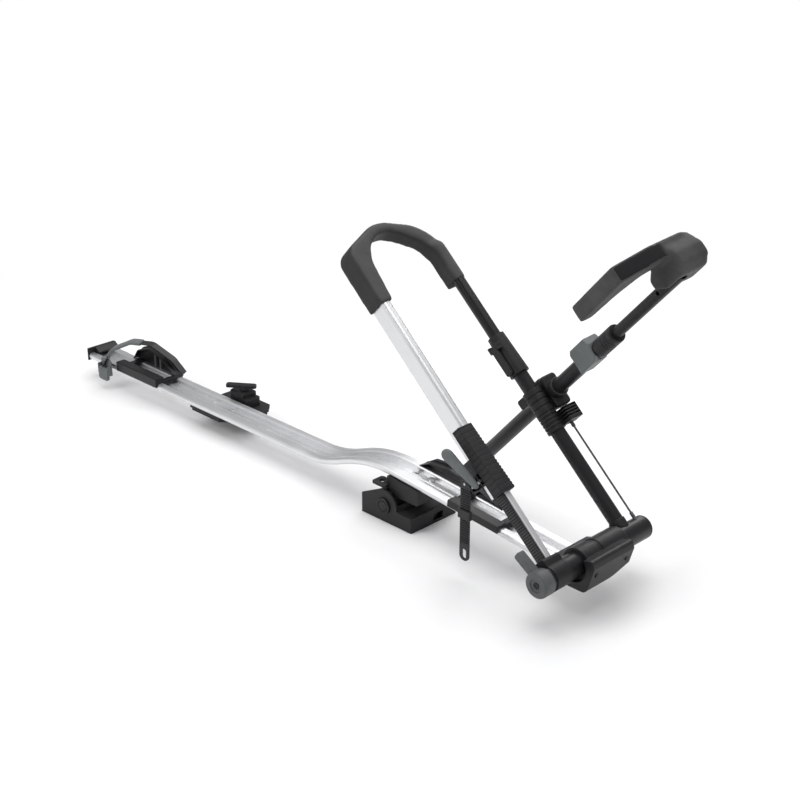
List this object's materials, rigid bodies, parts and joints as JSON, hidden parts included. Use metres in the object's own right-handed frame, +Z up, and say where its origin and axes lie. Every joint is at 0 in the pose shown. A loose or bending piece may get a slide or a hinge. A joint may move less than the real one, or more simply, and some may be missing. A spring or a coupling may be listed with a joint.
{
  "type": "roof mounted bike carrier",
  "caption": "Upright roof bike carrier: tray rail on two crossbar feet, folding hoop for the front wheel, telescopic tyre hook, wheel cradles and a strap.",
  "frame": {"origin": "middle of the crossbar space in the front foot, on the rail's middle plane", "axes": "+X forward along the rail to the axle, +Y across to the side of the hook arm, +Z up"},
  "size_m": [1.717, 0.374, 0.7192],
  "materials": {
    "rail_metal": "satin mill finish",
    "leg_metal": "satin anodised",
    "black_metal": "black anodised, satin",
    "black_plastic": "fine matt grain",
    "head_plastic": "fine matt grain",
    "grey_plastic": "satin",
    "strap_plastic": "satin",
    "rubber": "matt",
    "steel": "zinc plated",
    "guide_plastic": "smooth"
  },
  "bodies": {
    "base": {"rail": "rail_metal", "rail_end_cap": "black_plastic", "head_block": "head_plastic", "head_screws": "steel", "head_bushings": "guide_plastic", "foot_bracket": "black_plastic", "hub_pin": "black_plastic", "foot_bolts": "steel", "rear_base": "black_plastic", "rear_pad": "rubber", "rear_tower": "black_plastic", "base_screws": "steel", "front_cradle": "black_plastic"},
    "front_jaw": {"jaw_tray": "black_plastic", "jaw_pad": "rubber"},
    "jaw_screw": {"jaw_screw": "black_plastic"},
    "rear_handle": {"t_handle": "black_plastic"},
    "rear_cradle": {"rear_cradle": "black_plastic", "cradle_ribs": "grey_plastic", "wheel_strap": "strap_plastic", "strap_pad": "grey_plastic", "rear_buckle": "grey_plastic"},
    "rear_buckle_lever": {"rear_buckle_lever": "grey_plastic"},
    "hoop_lower": {"cross_tube": "black_metal", "cross_tube_cap": "black_plastic", "near_hub": "black_plastic", "inner_bar": "leg_metal", "far_tube": "black_metal", "far_collar": "black_plastic", "sleeve_clamp": "black_plastic", "sleeve_pin": "steel", "cable_anchor": "black_plastic", "cable": "steel", "cable_ferrules": "steel", "ladder_strap": "strap_plastic", "knob_seat": "guide_plastic"},
    "sleeve_lever": {"sleeve_lever": "black_plastic"},
    "hoop_upper": {"near_leg": "leg_metal", "leg_guide": "guide_plastic", "upper_tube": "black_metal", "hoop_core": "black_metal", "hoop_cover": "rubber", "buckle_cover": "black_plastic", "buckle_frame": "steel", "buckle_pins": "steel"},
    "buckle_lever": {"buckle_lever": "grey_plastic"},
    "strap_tail": {"strap_tail": "strap_plastic", "strap_keeper": "strap_plastic"},
    "arm_swivel": {"arm_swivel": "black_plastic"},
    "hook_arm": {"arm_carrier": "black_plastic", "arm_tube": "black_metal", "arm_plug": "black_plastic", "trigger_housing": "black_plastic", "rod_guide": "guide_plastic"},
    "trigger": {"trigger": "grey_plastic"},
    "hook_slide": {"hook_rod": "black_metal", "hook_core": "black_plastic", "hook_pad": "rubber"},
    "axle_knob": {"axle_knob": "grey_plastic"},
    "lock_barrel": {"lock_barrel": "steel"}
  },
  "joints": [
    {"name": "hoop_fold", "type": "hinge", "parent": "base", "child": "hoop_lower", "pos_m": [0.425, 0, 0.0485], "axis": [0, 1, 0], "range_deg": [-35, 30]},
    {"name": "hoop_extend", "type": "slide", "parent": "hoop_lower", "child": "hoop_upper", "axis": [-0.7379, 0, 0.6749], "range_m": [-0.06, 0.04]},
    {"name": "sleeve_lever_flip", "type": "hinge", "parent": "hoop_lower", "child": "sleeve_lever", "pos_m": [0.10645, 0.0805, 0.34327], "axis": [0.6749, 0, 0.7379], "range_deg": [-100, 0]},
    {"name": "buckle_lever_pump", "type": "hinge", "parent": "hoop_upper", "child": "buckle_lever", "pos_m": [0.24132, -0.114, 0.16773], "axis": [0.6749, 0, 0.7379], "range_deg": [-14, 56]},
    {"name": "strap_tail_hang", "type": "hinge", "parent": "hoop_upper", "child": "strap_tail", "pos_m": [0.20792, -0.1062, 0.15491], "axis": [0, 1, 0], "range_deg": [-30, 35]},
    {"name": "hook_swivel", "type": "hinge", "parent": "hoop_lower", "child": "arm_swivel", "pos_m": [0.20016, 0.101, 0.25755], "axis": [-0.7379, 0, 0.6749], "range_deg": [-8, 12]},
    {"name": "hook_fold", "type": "hinge", "parent": "arm_swivel", "child": "hook_arm", "pos_m": [0.19847, 0.139, 0.25571], "axis": [0.1422, 0.9775, 0.1555], "range_deg": [-70, 8]},
    {"name": "hook_reach", "type": "slide", "parent": "hook_arm", "child": "hook_slide", "axis": [0.6858, -0.2106, 0.6966], "range_m": [-0.15, 0.03]},
    {"name": "trigger_press", "type": "slide", "parent": "hook_arm", "child": "trigger", "axis": [0.6858, -0.2106, 0.6966], "range_m": [0, 0.004], "stiffness_N_per_m": 300, "springref_m": -0.004},
    {"name": "axle_knob_turn", "type": "hinge", "parent": "hoop_lower", "child": "axle_knob", "pos_m": [0.425, 0, 0.0485], "axis": [0, 1, 0], "range_deg": [-60, 60]},
    {"name": "lock_turn", "type": "hinge", "parent": "axle_knob", "child": "lock_barrel", "pos_m": [0.425, -0.15, 0.0485], "axis": [0, 1, 0], "range_deg": [0, 90]},
    {"name": "front_jaw_open", "type": "hinge", "parent": "base", "child": "front_jaw", "pos_m": [-0.063, 0, -0.01], "axis": [0, 1, 0], "range_deg": [0, 30]},
    {"name": "jaw_screw_turn", "type": "hinge", "parent": "front_jaw", "child": "jaw_screw", "pos_m": [-0.003, 0.024, -0.03], "axis": [0, 0, 1], "continuous": true},
    {"name": "rear_handle_turn", "type": "hinge", "parent": "base", "child": "rear_handle", "pos_m": [-0.648, 0.064, 0.04], "axis": [0, 0, 1], "continuous": true},
    {"name": "rear_cradle_slide", "type": "slide", "parent": "base", "child": "rear_cradle", "axis": [1, 0, 0], "range_m": [-0.045, 0.09]},
    {"name": "rear_buckle_lever_flip", "type": "hinge", "parent": "rear_cradle", "child": "rear_buckle_lever", "pos_m": [-1.046, -0.055, 0.005], "axis": [-1, 0, 0], "range_deg": [0, 95]}
  ],
  "couplings": [
    {"joint": "strap_tail_hang", "follows": "hoop_fold", "ratio": -1}
  ]
}
